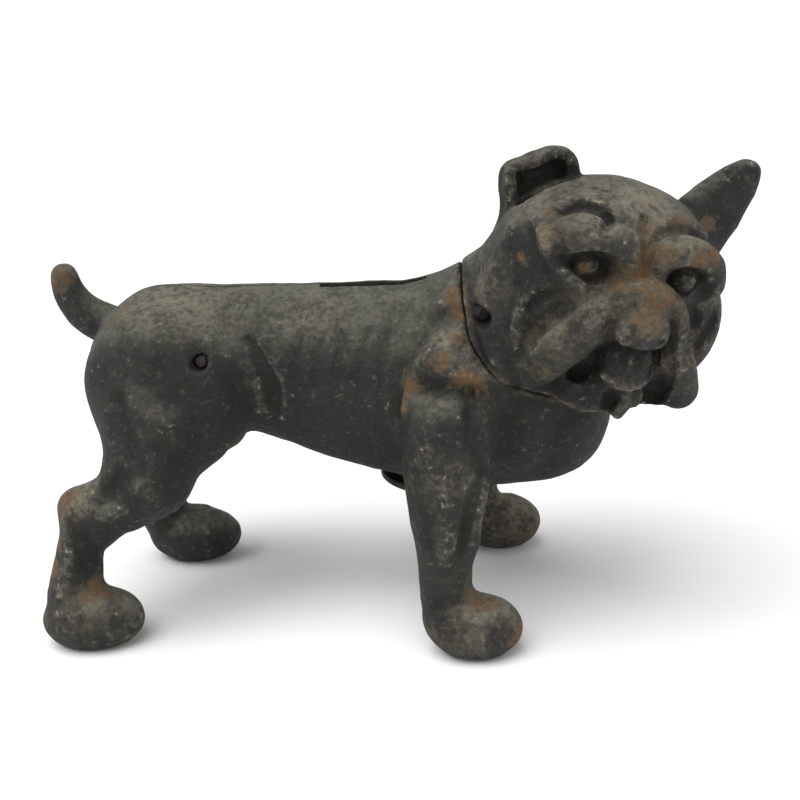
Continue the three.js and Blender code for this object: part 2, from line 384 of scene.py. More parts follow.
def carve_hind_leg(clay, side):
    # each fold with the share of the far leg's lead that it moves ahead by
    ahead = 0 if side < 0 else 9
    for share, path, widths, height in (
            (0, [(-71, 95), (-70, 91)], (7.5, 7.5), -1.7),
            (0, [(-64, 86.5), (-61, 83)], (6.2, 6.2), -1.4),
            (0.6, [(-86, 89), (-84, 82), (-82, 74), (-79, 67.5)], (3, 4.5, 5, 3.8), -3.2),
            (1, [(-84, 64.5), (-89, 60), (-94, 56.4)], (3.8, 4, 3.2), -3),
            (1, [(-104, 53.8), (-97, 53.4), (-91, 52.2), (-85, 54)], (2.2, 2.8, 3, 2.5), 1.6),
            (1, [(-107, 50), (-107.6, 38), (-111, 24)], (2.5, 3, 3), 1.4),
            (1, [(-101.5, 46), (-102, 35), (-103, 25)], (3.2, 3.8, 3.5), -1.9),
            (1, [(-112, 15.8), (-105, 16.6), (-98.5, 18.6), (-94, 19)], (2, 2.5, 2.5, 2), 1.1)):
        flank_strokes(clay, side, [([(x + ahead * share, z) for x, z in path], widths, height)])
    for toe in (-104, -98, -92.5):
        x = toe + ahead * 1.7
        flank_strokes(clay, side, [([(x, 13), (x + 0.6, 7), (x, 2.5)], (1.8, 2.2, 2), -0.7)])


def carve_flank(clay, side):
    # the loose skin where the flank meets the thigh
    flank_strokes(clay, side, [
        ([(-42, 106), (-39, 101.5), (-36, 95), (-33.8, 88), (-34.6, 81)],
         (1.2, 1.9, 2.5, 2.6, 2.2), -3.2),
        ([(-39, 98), (-36.4, 92), (-35, 86)], (3.4, 4.4, 3.6), -1.2),
        ([(-47.4, 101), (-42.4, 95.5), (-40.2, 88.5), (-40.4, 81)], (3, 3.6, 3.6, 3), 0.8),
        ([(-45.5, 92), (-45, 84)], (4.4, 4), -1.6),
        ([(-31.4, 98), (-30, 90), (-31, 83)], (3.4, 4, 3), 0.5),
    ])
    for rib in range(5):
        x = -25 + rib * 7.5
        flank_strokes(clay, side, [([(x + 1.5, 107), (x, 99), (x - 1.5, 91)], (1.6, 2.1, 1.6), -0.65)])
    flank_strokes(clay, side, [
        ([(-58, 101.5), (-58, 99.5)], (3.4, 3.4), -0.9),
        ([(30, 126), (32.8, 120), (34.6, 114), (36.4, 106), (38.4, 100)], (2, 2.4, 2.6, 2.6, 2), -1.8),
    ])


def carve_body_folds(clay):
    clay.even_out()
    for side in SIDES:
        carve_flank(clay, side)
        carve_shoulder(clay, side)
        carve_front_leg(clay, side)
        carve_hind_leg(clay, side)
    # crease where the tail leaves the rump
    clay.stroke([(-93, 2.5, 108), (-98, 1.5, 102), (-100, 1.5, 95)], (2, 2.4, 2), -1.6)


# the way out of the head towards its right front, along which points are moved onto its skin
RIGHT_FRONT = HEAD_TURN @ np.array([0.9, -0.385, 0.2])
OFF_SKIN = 14


def head_strokes(clay, strokes):
    """Strokes on the head, each near a path of (forward, left, up), with its widths and height."""
    for path, widths, height in strokes:
        skin = [slide(clay, in_head(point) + OFF_SKIN * RIGHT_FRONT, -RIGHT_FRONT) for point in path]
        clay.stroke(skin, widths, height)


def shape_head(clay):
    clay.add(head_ball((-7, 0, 6), (30, 36.5, 26)), 10)
    clay.add(head_ball((-6.5, -20, -13), (17, 17.5, 23)), 7)
    clay.add(head_ball((-6, 25, -12), (18, 19.5, 23)), 7)
    clay.add(head_ball((8, 2, -7), (14, 17, 15)), 6)
    clay.add(head_ball((3, 8, -30), (11, 22, 11)), 5)
    clay.add(head_roll([(5, 13, -32), (6, 21, -33.4), (5.5, 28.5, -32)], (5, 5.4, 5.6)), 5)


def shape_brows(clay):
    near = [(11, -25.4, 11), (15, -22.6, 14.6), (18.3, -18.3, 16.6), (19.8, -13.2, 15.8), (20.8, -8, 15.2),
            (21.8, -3.8, 13.8), (21.4, -1.2, 9.5)]
    far = [(21.6, 5, 10.5), (21.6, 8, 13.8), (20, 13.4, 14.6), (18, 20.2, 13.4), (15, 26.8, 10),
           (11, 31.6, 4.6), (8, 33, -1)]
    clay.add(head_roll(near, (4.4, 5.8, 6.5, 6.3, 6.3, 5.2, 3.4)), 1.5)
    clay.add(head_roll(far, (3.6, 4.8, 5.4, 5.6, 5.2, 3.8, 2.2)), 2)
    # brow notch, then the wrinkle over the brow
    head_strokes(clay, [
        ([(21, -12.4, 22.6), (22, -12.4, 19.6), (22, -12.6, 17.4)], (1.3, 1.6, 1.2), -2.2),
        ([(17, -24.7, 22.4), (19, -22.1, 24.5), (20, -19.5, 25.5), (21, -16.5, 24.7),
         (22, -12.6, 22.4)], (1.1, 1.5, 1.7, 1.7, 1.4), -3),
        ([(16, -26.3, 24.6), (18, -23.6, 27.4), (19, -19.4, 28.4), (20, -16.1, 27.8),
         (21.5, -12.1, 25.8), (22, -9.6, 22.6)], (1.8, 2.2, 2.4, 2.3, 2, 1.6), 2),
        ([(15, -23, 32), (16, -16.5, 32.4), (18, -11, 30.4)], (1.6, 2, 1.6), -0.9),
        ([(22, 5.5, 23.8), (21, 10.6, 25.3), (19, 17.6, 23.8), (16, 24, 20.6)], (1.6, 2, 2, 1.6), 1.8),
        ([(22, 6, 20.8), (21, 11.2, 22), (19, 18, 20.8), (16, 25, 17.4)], (1.1, 1.4, 1.4, 1.1), -2),
        ([(21, 10.6, 20), (22, 10.4, 17.6)], (1.2, 1), -1.2),
        # furrow between the brows
        ([(21, -0.4, 24), (22, -0.1, 22.2), (24, 0.3, 15.5), (25, 2, 9.2)], (1.2, 1.7, 2.2, 2.4), -3.6),
        ([(22, 4, 19.6), (23, 1.6, 15)], (1.2, 1.4), -1.2),
    ])


def shape_eyes(clay):
    for l, t in ((-14, 7.6), (18.7, 5.8)):
        clay.carve(head_ball((26, l - 0.4, t - 0.6), (13.5, 8.6, 6.2)), 1.4)
        clay.add(head_ball((14.2, l, t), (5, 4.7, 4.5)), 0.4)


def shape_muzzle(clay):
    # the hanging upper lip, one roll from jowl to jowl over the nose
    lip = [(3, -21.4, -31), (7, -19.4, -26.6), (11.5, -15.4, -19.5), (16.5, -11, -12.6), (20, -6.8, -5.2),
           (22.4, -2.4, -0.4), (23.2, 2.6, 1.2), (22.8, 8.4, 0.4), (21.4, 13.8, -3.4), (19.4, 18.2, -10),
           (16.6, 21.6, -18), (13.4, 25.4, -25.6), (9.5, 28.4, -32)]
    clay.add(head_roll(lip, (6.6, 7.4, 7.8, 7.4, 6.6, 6, 5.6, 5.2, 4.8, 4.6, 5.2, 6.2, 6.6)), 1.2)
    # nose: a soft square with a middle ridge
    clay.add(head_ball((25.6, 3.4, -8.2), (6.2, 8.8, 7.4)), 2.2)
    clay.add(head_roll([(27.6, 2.2, -4), (29.8, 2.6, -8), (28.8, 3, -12)], (3, 3.2, 2.8)), 1.2)
    for way in (-1, 1):
        clay.add(head_ball((27, 3.2 + way * 5.2, -9.8), (4, 3.4, 4.6)), 1.4)
        clay.carve(head_ball((32.4, 3.2 + way * 5.4, -11.6), (3, 1.5, 1.1)), 0.8)
    head_strokes(clay, [
        ([(26, 13.2, -2.6), (25.6, 13.6, -8), (25, 14, -14.6)], (1.4, 1.8, 1.8), -2.4),
        ([(27, -6, -3), (27.4, -7.4, -7), (27, -7.6, -11)], (1, 1.2, 1.2), -1.4),
    ])


def shape_mouth(clay):
    # black hollows each side of the chin, under the lip
    clay.carve(head_roll([(25, -4, -14), (19, -5, -20.5), (13.4, -6.4, -25.8), (8.6, -8.6, -30)],
                         (1.8, 3.4, 4.2, 2.4)), 0.8)
    clay.carve(head_roll([(28, 14.4, -14), (21, 16.6, -22), (14, 18.8, -30), (8, 20, -37)],
                         (1.8, 3.6, 4.6, 4)), 0.8)
    head_strokes(clay, [([(20, -2, -16), (14, -4, -24), (9, -5.6, -30)], (1.8, 3, 2.6), -1.6)])
    # chin and lower teeth between them
    clay.add(head_ball((14.6, 5.2, -21.4), (9.4, 8.2, 9.6)), 0.8)
    clay.add(head_roll([(17, -1.6, -27.2), (20.4, 2, -29), (21.4, 6.4, -28.8), (20.2, 10.6, -26.8),
                        (17.6, 13.4, -24)], (1.2, 1.5, 1.6, 1.5, 1.1)), 3.4)
    for l in (0.2, 5, 9.8):
        gap = [(24, l, -17.6), (24, l + 0.4, -21), (23.6, l + 0.8, -24.4)]
        head_strokes(clay, [(gap, (0.9, 1.2, 0.9), -0.9)])


def shape_cheeks(clay):
    # near side: a fold falls from the temple past the eye to the muzzle
    head_strokes(clay, [
        ([(4, -28.4, 17), (8, -25.3, 11.4), (11, -24, 6.5), (15, -19.6, 3.1), (18.4, -15.6, 0.4)],
         (1.8, 2.3, 2.5, 2.5, 1.8), 2.7),
        ([(9.4, -24, 14.6), (12, -22, 10), (15, -20, 6.6)], (1.2, 1.6, 1.4), -1.8),
        ([(4, -30, 13), (7, -27.6, 8), (10, -24.8, 3.6)], (1.6, 2, 1.6), -0.7),
        ([(15.6, -16.2, -2.2), (13, -18.2, -6), (10, -20.4, -11), (6.4, -22.8, -17),
         (4.4, -24.2, -22.6), (3, -25, -28)], (2, 2.6, 2.8, 2.6, 2.2, 1.6), -3.6),
        ([(13, -19.8, -3), (9, -22.6, -6), (5, -24.6, -10.6)], (1.6, 2.2, 2), -2.6),
        ([(10, -24.4, -1), (6, -27, -5), (2.6, -28.4, -11), (1, -28.4, -18)],
         (2.4, 3.2, 3.4, 2.8), 0.9),
        ([(1, -30, -4), (-1, -30.6, -11), (-1, -30, -19)], (1.6, 2.2, 1.8), -1.3),
        ([(2, -30.6, 4.6), (2, -30.4, 1.6)], (1.4, 1.7), -2.8),
        ([(-4, -33, 12), (-6, -34.6, 3), (-7, -35, -8), (-6, -34, -20)], (2.6, 3.4, 3.6, 3), 1.5),
        ([(9.6, -17.8, -20.4), (10.6, -16.4, -17.6)], (1.6, 1.4), -1.4),
        # far side
        ([(12, 36, 6), (14.6, 31.6, 2.4), (17, 27, -0.6), (18.6, 24.6, -2.4)], (2, 2.4, 2.2, 1.6), 1.3),
        ([(18, 24.6, -3.6), (15, 27, -8), (13, 27, -14), (10, 28.6, -21)], (1.6, 2.2, 2.4, 2), -3.4),
        ([(14, 34, -5), (9, 34.6, -11), (5, 33.4, -18)], (1.6, 2, 1.8), -1.8),
        ([(11, 37.6, -2), (6, 38.4, -10), (3, 37.6, -18)], (2, 2.4, 2), 1.4),
    ])


def shape_dewlap(clay):
    clay.add(head_ball((1, 3, -36), (12, 14, 8)), 4)
    for path in (((11, -1.4, -33), (7, -1, -38), (3, -2, -42)),
                 ((14.5, 7.8, -32.5), (11, 9, -38.6), (7, 10.4, -43))):
        clay.add(head_roll(path, (1.8, 2.2, 2)), 2.5)
    clay.carve(head_roll([(16, 3.4, -33), (12, 4, -37), (7, 4.6, -42)], (2.2, 3, 2.4)), 1.2)


def shape_ears(clay):
    # right ear: a folded flap whose tip makes a hood over a dark hollow
    rim = [(-29.4, 9), (-31, 18), (-33.6, 28.8), (-26.4, 32.8), (-19, 36.4), (-14, 34.6), (-11.6, 28)]
    clay.add(head_roll([(-13.6, l, t) for l, t in rim], (3.2, 2.5, 2.1, 2.2, 2.3, 2.2, 2.2)), 1.4)
    clay.add(head_roll([(-17.6, l, t - 0.6) for l, t in rim], (3.8, 3, 2.3, 2.3, 2.3, 2.3, 2.4)), 2)
    clay.add(head_ball((-19.2, -21, 23), (3.8, 11.6, 13.2)), 1.5)
    clay.carve(head_roll([(-9.6, -27.4, 19), (-9.6, -26.4, 25), (-9.4, -16, 30)], (3, 4.2, 3.8)), 0.8)
    # left ear: upright and pointed, gently scooped in front
    clay.add(head_roll([(-10, 32, 14), (-13, 39, 24), (-16, 46, 32), (-18, 51.6, 38)],
                       (10, 9.8, 7.4, 3.2)), 4)
    clay.add(head_roll([(-12, 30, 25), (-15, 40, 31.5), (-18, 49, 38)], (4, 3.6, 2.6)), 3)
    scoop = [(-6, 37.5, 19), (-8, 42, 25.6), (-11, 46.6, 32), (-14, 50.4, 36.6)]
    head_strokes(clay, [(scoop, (6, 6.4, 5, 2.8), -5)])


def shape_neck_folds(clay):
    clay.add(Roll([(41, -18, 127), (42, -28.5, 118), (42.5, -33, 106), (46, -33, 95)],
                  (2.2, 3, 3.2, 2)), 4)


def sculpt_head(clay):
    shape_head(clay)
    shape_brows(clay)
    shape_eyes(clay)
    shape_dewlap(clay)
    shape_muzzle(clay)
    shape_mouth(clay)
    shape_cheeks(clay)
    shape_ears(clay)
    shape_neck_folds(clay)


SEAM_X, SEAM_Z = 35.3, 95.5
SEAM_BEND = 16


def seam_side(points):
    """Distance ahead of the head joint: down the neck, then forward under the throat."""
    x, _, z = points
    down = (x - SEAM_X) * 0.985 + (z - SEAM_Z) * 0.174
    forward = (x - SEAM_X) * 0.366 + (z - SEAM_Z) * 0.931
    return soft_min(down, forward, SEAM_BEND)


# ------------------------------------------------------------------ castings
class Rod:
    """Capped cylinder between two points."""

    def __init__(self, start, end, radius):
        self.start, self.end = np.array(start, float), np.array(end, float)
        self.radius = radius

    def box(self):
        both = np.stack([self.start, self.end])
        return both.min(0) - self.radius, both.max(0) + self.radius

    def distance(self, points):
        span = self.end - self.start
        length = np.linalg.norm(span)
        axis = span / length
        away = [points[i] - np.float32(self.start[i]) for i in range(3)]
        t = sum(away[i] * np.float32(axis[i]) for i in range(3))
        round_gap = np.sqrt(sum((away[i] - t * np.float32(axis[i])) ** 2 for i in range(3))) - self.radius
        return np.maximum(round_gap, np.maximum(-t, t - np.float32(length)))


class Block:
    """Upright box from its low corner to its high corner."""

    def __init__(self, low, high):
        self.low, self.high = np.array(low, float), np.array(high, float)

    def box(self):
        return self.low, self.high

    def distance(self, points):
        middle, half = (self.low + self.high) / 2, (self.high - self.low) / 2
        gaps = [np.abs(points[i] - np.float32(middle[i])) - np.float32(half[i]) for i in range(3)]
        return np.maximum(np.maximum(gaps[0], gaps[1]), gaps[2])


SLOT_X = (-20, 17)
SLOT_WIDE = 4.8
SLOT_Z = (96, 130)
TRAP_AT = np.array([12, 0, 49.0])
TRAP_TILT = math.radians(11)
TRAP_OUT = np.array([-math.sin(TRAP_TILT), 0, -math.cos(TRAP_TILT)])
HOLE_R = 12.8
HAUNCH = (-58, 100)
HAUNCH_HOLE, HAUNCH_SINK, HAUNCH_SEAT = 2.65, 4.9, 27.6
NECK = (38.8, 114.3)
NECK_HOLE, NECK_SINK, NECK_SEAT, NECK_END = 2.1, 3.6, -24, -12
PAST_SKIN = 60
HALF_GAP = 0.01
RIM_ROUND = 1.0
BODY_STEP = 0.9
HEAD_STEP = 0.8


def hollow_out(clay):
    """The coin chamber: the torso again, one wall thinner."""
    room = clay.blank()
    shape_torso(room, WALL + 0.6)
    clay.value = np.maximum(clay.value, -room.value)


def cut_openings(clay):
    clay.carve(Block((SLOT_X[0], -SLOT_WIDE / 2, SLOT_Z[0]), (SLOT_X[1], SLOT_WIDE / 2, SLOT_Z[1])), 0.6)
    clay.carve(Rod(TRAP_AT - TRAP_OUT * 14, TRAP_AT + TRAP_OUT * 16, HOLE_R), 0.6)
    x, z = HAUNCH
    clay.carve(Rod((x, -PAST_SKIN, z), (x, PAST_SKIN, z), HAUNCH_HOLE), 0.3)
    clay.carve(Rod((x, HAUNCH_SEAT, z), (x, PAST_SKIN, z), HAUNCH_SINK), 0.8)


def sculpt_castings():
    """Returns the fields of the right half, the left half and the head."""
    body = Clay((-129, -61, -3), (88, 61, 134), BODY_STEP)
    shape_body(body)
    carve_body_folds(body)
    body.roughen((2.6, 6, 14), (0.10, 0.2, 0.3), 3)
    points = body.everywhere()
    outside = body.value.copy()
    body.value = -soft_min(-body.value, -seam_side(points), 1.2)
    body.value = -soft_min(-body.value, points[2], 1.5)
    hollow_out(body)
    cut_openings(body)
    halves = []
    for side in SIDES:
        half = body.blank()
        half.value = -soft_min(-body.value, side * points[1] - HALF_GAP, RIM_ROUND)
        half.skin = outside
        halves.append(half)

    head = Clay((22, -80, 62), (136, 42, 172), HEAD_STEP)
    shape_body(head)
    carve_body_folds(head)
    points = head.everywhere()
    seam = seam_side(points)
    body_there = np.maximum(head.value, seam)
    head.value = np.maximum(head.value, GAP - seam)
    sculpt_head(head)
    head.roughen((2.2, 5, 12), (0.08, 0.16, 0.2), 5)
    head.skin = head.value.copy()
    head.value = -soft_min(-head.value, body_there - GAP, 0.8)
    x, z = NECK
    head.carve(Rod((x, -PAST_SKIN, z), (x, NECK_SEAT, z), NECK_SINK), 0.8)
    head.carve(Rod((x, -PAST_SKIN, z), (x, NECK_END, z), NECK_HOLE), 0.5)
    return halves[0], halves[1], head


def surface_of(clay):
    """Vertices and four-cornered faces of the zero surface, by surface nets."""
    solid = clay.value < 0
    shape = solid.shape
    corners = [(i, j, k) for i in (0, 1) for j in (0, 1) for k in (0, 1)]
    count = sum(solid[i:shape[0] - 1 + i, j:shape[1] - 1 + j, k:shape[2] - 1 + k].astype(np.int8)
                for i, j, k in corners)
    crossed = (count > 0) & (count < 8)
    cells = np.argwhere(crossed)
    number = -np.ones(crossed.shape, np.int64)
    number[crossed] = np.arange(len(cells))
    place, hits = np.zeros((len(cells), 3)), np.zeros(len(cells))
    for a in corners:
        for b in corners:
            if a < b and sum(abs(a[i] - b[i]) for i in range(3)) == 1:
                va = clay.value[tuple(cells[:, i] + a[i] for i in range(3))]
                vb = clay.value[tuple(cells[:, i] + b[i] for i in range(3))]
                hit = (va < 0) != (vb < 0)
                t = np.where(hit, va / np.where(hit, va - vb, 1), 0)
                for i in range(3):
                    place[:, i] += np.where(hit, a[i] + t * (b[i] - a[i]), 0)
                hits += hit
    vertices = (cells + place / hits[:, None]) * clay.step + clay.low
    faces = []
    for axis in range(3):
        u, v = [i for i in range(3) if i != axis]
        near, far = [slice(None)] * 3, [slice(None)] * 3
        near[axis], far[axis] = slice(0, -1), slice(1, None)
        edges = np.argwhere(solid[tuple(near)] != solid[tuple(far)])
        inside = (edges[:, u] > 0) & (edges[:, v] > 0)
        inside &= (edges[:, u] < shape[u] - 1) & (edges[:, v] < shape[v] - 1)
        edges = edges[inside]
        ring = []
        for du, dv in ((1, 1), (0, 1), (0, 0), (1, 0)):
            cell = edges.copy()
            cell[:, u] -= du
            cell[:, v] -= dv
            ring.append(number[tuple(cell.T)])
        ring = np.stack(ring, 1)
        first = solid[tuple(edges.T)]
        keep = first if axis != 1 else ~first
        faces.append(np.where(keep[:, None], ring, ring[:, ::-1]))
    return vertices, np.concatenate(faces)


def face_normals(vertices, faces):
    across = vertices[faces[:, 2]] - vertices[faces[:, 0]]
    other = vertices[faces[:, 3]] - vertices[faces[:, 1]]
    flat = np.cross(across, other)
    normals = np.zeros_like(vertices)
    for i in range(4):
        np.add.at(normals, faces[:, i], flat)
    return normals / (np.linalg.norm(normals, axis=1, keepdims=True) + 1e-9)


def shelter(clay, vertices, normals):
    """How much painted shade a point gets: 1 in a deep fold, 0 on open skin."""
    total = 0
    for far, weight in ((1.5, 0.4), (3.5, 0.35), (7.0, 0.25)):
        clear = read_field(clay.skin, clay, vertices + normals * far)
        total = total + weight * np.clip((far - clear) / far, 0, 1)
    return np.clip(total * 1.6, 0, 1)


def soften(field, reach):
    """Mean of a field over a cube reaching so many cells each way."""
    for axis in range(3):
        first = np.repeat(np.take(field, [0], axis), reach + 1, axis)
        last = np.repeat(np.take(field, [-1], axis), reach, axis)
        total = np.cumsum(np.concatenate([first, field, last], axis), axis)
        count = field.shape[axis]
        span = 2 * reach + 1
        ahead, behind = np.take(total, range(span, span + count), axis), np.take(total, range(count), axis)
        field = (ahead - behind) / span
    return field


def relief(clay, vertices):
    """Above 0 on narrow ridges, below 0 in narrow folds, near 0 on even roundness."""
    field = np.clip(clay.skin, -9, 9).astype(float)
    fine = read_field(soften(field, 2), clay, vertices)
    broad = read_field(soften(field, 5), clay, vertices)
    return np.clip(fine * 2.3 - broad * 0.22, -1, 1)


# (place, reach) of each spot: on the body in the design frame, on the head as (forward, left, up)
RUST_SPOTS = [
    ((29, -19, 119), 5), ((30.5, -22, 113.5), 4), ((30, -32, 107.5), 3), ((26.5, -36, 101.5), 4),
    ((13, -36, 92), 5), ((11, -36, 86), 4), ((33, -36, 96), 5), ((37, -36, 92), 4), ((48, -46, 8), 6),
    ((36, -45, 20), 7), ((-106, -42, 54), 6), ((-114, -42, 40), 5), ((-115, -42, 30), 5),
    ((-100, -44, 20), 7), ((-92, -14, 116), 7), ((48, 44, 8), 6), ((-92, 40, 48), 6),
    ((30, 33, 108), 8), ((-60, 20, 118), 8), ((-119, 6, 122), 5), ((-48, -24, 116), 6),
    ((22, -48, 12), 5), ((-118, -44, 12), 5), ((-20, -26, 114), 4),
]
HEAD_RUST = [
    ((24, 0, 6), 6), ((23, 3, 14), 7), ((20, 2, 20), 5), ((19, 9, 27), 6), ((16, 16, 25), 6),
    ((22, 18, 13), 5), ((20, 24, 16), 5), ((28, 6, 2), 7), ((22, -4, 3), 6), ((21, 15, -2), 6),
    ((30, 3, -6), 5), ((19, -15.6, 6), 2.5), ((15, -29, 15.6), 4), ((12, -19, -28), 4),
    ((9, -17, -18), 5), ((14, 30, -20), 6), ((5, -26, 21), 2.5), ((-4, 33.6, 20.8), 3),
    ((6, -31, 5.6), 2.5), ((14, -24, 24), 5), ((10, 36, 6), 5), ((8, 32, -28), 5),
]
# pale dust; the first, large spot on the far front paw is also painted light on a paw that sits in the
# body's shadow
DUST_AND_LIGHT_SPOTS = [
    ((38, 44, 14), 17), ((37, -45, 18), 9), ((33, -50, 10), 7), ((26, -44, 64), 7),
    ((-102, -42, 56), 7), ((-106, -44, 14), 9), ((26, -33, 108), 6), ((-70, -10, 118), 14),
    ((-95, -40, 7), 8), ((-88, 40, 20), 9), ((0, 30, 112), 14), ((-20, -22, 118), 10),
]
HEAD_DUST = [
    ((15, -29.6, 15.6), 4), ((17.6, -28.7, 13.5), 4), ((16.6, -20, -14.3), 4), ((14, 2, 30), 17),
    ((21, -16, 21), 8), ((22, 14, 19), 8), ((24, 3, 5), 10), ((20, -8, -5), 10), ((13, -16, -17), 8),
    ((-2, -30, 28), 9), ((30, 3, -5), 5), ((14, 22, -20), 7), ((8, -19, -22), 7), ((-6, -35, -6), 8),
    ((18, 5, -29), 5), ((4, 38, 4), 8),
]
# spots of painted shade where shade falls: inside the left ear, the near cheek, between the brows, at the
# mouth hollows and under the jaw, and a few low on the body's near side
HEAD_SHADE = [
    ((-7.3, 39.7, 28), 9), ((-11.3, 43.8, 35), 8), ((-5.5, 36.6, 23.4), 7), ((7.5, -31, 0.3), 6),
    ((5, -31.6, 8), 5), ((13.5, -26, -1.6), 5), ((8, -24.2, -15), 4), ((25, 4, 12.6), 3.5),
    ((22.7, 0.6, 11.7), 4), ((10.6, 29.3, -11), 5), ((13, 0, -35), 6), ((5, 20, -37), 9),
    ((22, -3.4, -15.5), 3), ((17, -4.4, -22), 4), ((12, -6.4, -28), 4), ((8, -10, -32), 4),
    ((22, 15, -20), 4), ((16, 17, -28), 5),
]
BODY_SHADE = [
    ((-41, -30, 84), 6), ((-33, -30, 76), 5), ((46, -30, 78), 6), ((12, -36, 76), 4),
]


def spot_amount(vertices, spots, head_spots):
    """1 at the middle of each spot and fading out round it."""
    total = np.zeros(len(vertices))
    places = [(np.array(at, float), size) for at, size in spots]
    places += [(in_head(at), size) for at, size in head_spots]
    for at, size in places:
        near = np.exp(-((vertices - at) ** 2).sum(1) / (size * size))
        total = np.maximum(total, near)
    return total


def dust_and_light_amount(vertices):
    total = spot_amount(vertices, DUST_AND_LIGHT_SPOTS, HEAD_DUST)
    # a pale line where casting meets casting round the neck
    seam = seam_side([vertices[:, i] for i in range(3)])
    return np.maximum(total, 0.9 * np.exp(-(seam / 1.4) ** 2))


def design_shift():
    """The part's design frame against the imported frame, read off the haunch screw."""
    low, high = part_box("haunch_screw")
    return (low[0] + high[0]) / 2 / MM - HAUNCH[0]


SHIFT = design_shift()


def to_frame(points):
    return (np.array(points, float) + np.array([SHIFT, 0, 0])) * MM


def new_object(name, data, material=None):
    piece = bpy.data.objects.new(name, data)
    bpy.context.scene.collection.objects.link(piece)
    if material:
        data.materials.append(material)
    return piece


def mesh_piece(name, clay, material):
    vertices, faces = surface_of(clay)
    normals = face_normals(vertices, faces)
    mesh = bpy.data.meshes.new(name)
    mesh.from_pydata(to_frame(vertices).tolist(), [], faces.tolist())
    mesh.polygons.foreach_set("use_smooth", [True] * len(mesh.polygons))
    # painted shade: crease bottoms and the listed shade spots
    shade_spots = np.clip(1.3 * spot_amount(vertices, BODY_SHADE, HEAD_SHADE), 0, 1)
    layers = {"shelter": shelter(clay, vertices, normals), "relief": relief(clay, vertices),
              "rust": spot_amount(vertices, RUST_SPOTS, HEAD_RUST),
              "dust": dust_and_light_amount(vertices),
              "painted_shade": np.maximum(painted_shade(clay, vertices), shade_spots)}
    for layer, values in layers.items():
        attribute = mesh.attributes.new(layer, "FLOAT", "POINT")
        attribute.data.foreach_set("value", values.astype(np.float32))
    mesh.update()
    return new_object(name, mesh, material)


# ------------------------------------------------------------------ turned pieces
def lathe(name, profile, material, turns=72):
    """Solid of revolution about +Z from (radius, height) pairs that start and end on the axis."""
    vertices, faces, rings = [], [], []
    for radius, height in profile:
        if radius < 1e-6:
            rings.append([len(vertices)])
            vertices.append((0, 0, height * MM))
            continue
        rings.append(list(range(len(vertices), len(vertices) + turns)))
        for i in range(turns):
            angle = 2 * math.pi * i / turns
            vertices.append((radius * MM * math.cos(angle), radius * MM * math.sin(angle), height * MM))
    for low, high in zip(rings[:-1], rings[1:]):
        for i in range(turns):
            j = (i + 1) % turns
            if len(low) == 1:
                faces.append((low[0], high[j], high[i]))
            elif len(high) == 1:
                faces.append((low[i], low[j], high[0]))
            else:
                faces.append((low[i], low[j], high[j], high[i]))
    mesh = bpy.data.meshes.new(name)
    mesh.from_pydata(vertices, [], faces)
    mesh.update()
    return new_object(name, mesh, material)


def apply_modifiers(piece):
    graph = bpy.context.evaluated_depsgraph_get()
    mesh = bpy.data.meshes.new_from_object(piece.evaluated_get(graph))
    piece.modifiers.clear()
    piece.data = mesh


def cut_with(piece, cutter):
    tool = piece.modifiers.new("cut", "BOOLEAN")
    tool.operation = "DIFFERENCE"
    tool.solver = "EXACT"
    tool.object = cutter
    apply_modifiers(piece)
    bpy.data.objects.remove(cutter)


def box_object(name, size, at, turn):
    half = [s / 2 * MM for s in size]
    corners = [(x, y, z) for x in (-half[0], half[0]) for y in (-half[1], half[1])
               for z in (-half[2], half[2])]
    faces = [(0, 1, 3, 2), (4, 6, 7, 5), (0, 4, 5, 1), (2, 3, 7, 6), (0, 2, 6, 4), (1, 5, 7, 3)]
    mesh = bpy.data.meshes.new(name)
    mesh.from_pydata(corners, [], faces)
    piece = new_object(name, mesh)
    piece.matrix_world = Matrix.Translation([c * MM for c in at]) @ Matrix.Rotation(turn, 4, "Z")
    return piece


def bevel_edges(piece, width):
    tool = piece.modifiers.new("bevel", "BEVEL")
    tool.width = width * MM
    tool.segments = 2
    tool.limit_method = "ANGLE"
    tool.angle_limit = math.radians(38)
    apply_modifiers(piece)
    piece.data.polygons.foreach_set("use_smooth", [True] * len(piece.data.polygons))


def place_mesh(piece, turn, at):
    """Moves the mesh itself, so that the object stays at the origin as the CAD nodes do."""
    piece.data.transform(Matrix.Translation(Vector(at)) @ turn)
    piece.data.update()


PITCH = 1.2
DRIVER_SLOT = (1.1, 1.5)


def slotted_screw(name, shank, head, length, material, slot_turn):
    """Round-headed screw: head above z 0, threaded shank below."""
    rise = head * 0.5
    profile = [(0, -length), (shank * 0.7, -length + 0.2), (shank, -length + 1.2)]
    for k in range(int((length * 0.4) / PITCH)):
        z = -length + 1.6 + k * PITCH
        profile += [(shank, z), (shank * 0.86, z + PITCH * 0.45)]
    profile += [(shank, -length * 0.55), (shank, -0.25), (shank + 0.1, 0), (head * 0.96, 0)]
    profile += [(head, 0.25)]
    for k in range(1, 8):
        angle = math.pi / 2 * k / 8
        profile.append((head * math.cos(angle), 0.25 + (rise - 0.25) * math.sin(angle)))
    profile.append((0, rise))
    piece = lathe(name, profile, material, 48)
    cut_with(piece, box_object("slot", (head * 3, *DRIVER_SLOT), (0, 0, rise), slot_turn))
    bevel_edges(piece, 0.12)
    return piece


def make_screws(material):
    x, z = HAUNCH
    haunch = slotted_screw("haunch_screw_steel", 2.5, 4.35, 55.6, material, math.radians(25))
    place_mesh(haunch, Matrix.Rotation(-math.pi / 2, 4, "X"), to_frame((x, HAUNCH_SEAT, z)))
    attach(haunch, "bank")
    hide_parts("haunch_screw")
    x, z = NECK
    neck = slotted_screw("neck_screw_steel", 1.65, 2.95, 11.6, material, math.radians(70))
    place_mesh(neck, Matrix.Rotation(math.pi / 2, 4, "X"), to_frame((x, NECK_SEAT, z)))
    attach(neck, "bank")
    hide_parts("neck_screw")


